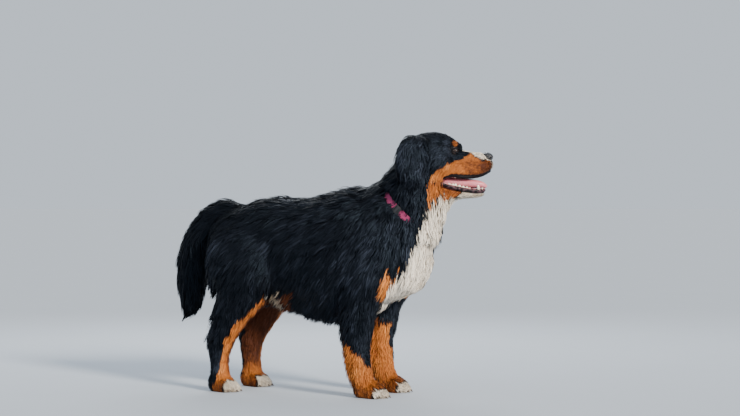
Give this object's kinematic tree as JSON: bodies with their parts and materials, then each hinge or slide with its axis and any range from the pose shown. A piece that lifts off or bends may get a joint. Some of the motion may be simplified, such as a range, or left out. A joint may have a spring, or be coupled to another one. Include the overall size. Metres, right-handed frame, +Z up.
{
  "type": "bernese mountain dog",
  "caption": "Life-size standing long-coated mountain dog with an open mouth, hanging ears, a long plumed tail and a webbing collar.",
  "frame": {"origin": "centre of the bounding box, on the floor under the dog", "axes": "+X towards the nose, +Y towards the dog's left side, +Z up"},
  "size_m": [1.1162, 0.3692, 0.8603],
  "materials": {
    "black_coat": "long soft black hair with a slight sheen",
    "rust_coat": "rust brown hair below a black upper part",
    "white_coat": "short white hair running into rust brown",
    "eye": "wet dark brown eye",
    "nose_leather": "moist black nose leather",
    "tongue_flesh": "wet pink tongue",
    "webbing": "woven crimson webbing",
    "buckle_plastic": "black moulded plastic"
  },
  "bodies": {
    "root": {"torso": "black_coat", "neck": "black_coat", "head": "black_coat", "lower_jaw": "white_coat", "nose": "nose_leather", "tongue": "tongue_flesh", "ear_right": "black_coat", "ear_left": "black_coat", "eye_right": "eye", "eye_left": "eye", "foreleg_right": "rust_coat", "foreleg_left": "rust_coat", "hindleg_right": "black_coat", "hindleg_left": "black_coat", "forepaw_right": "white_coat", "forepaw_left": "white_coat", "hindpaw_right": "white_coat", "hindpaw_left": "white_coat", "tail": "black_coat", "collar_strap": "webbing", "collar_buckle": "buckle_plastic"}
  },
  "joints": []
}
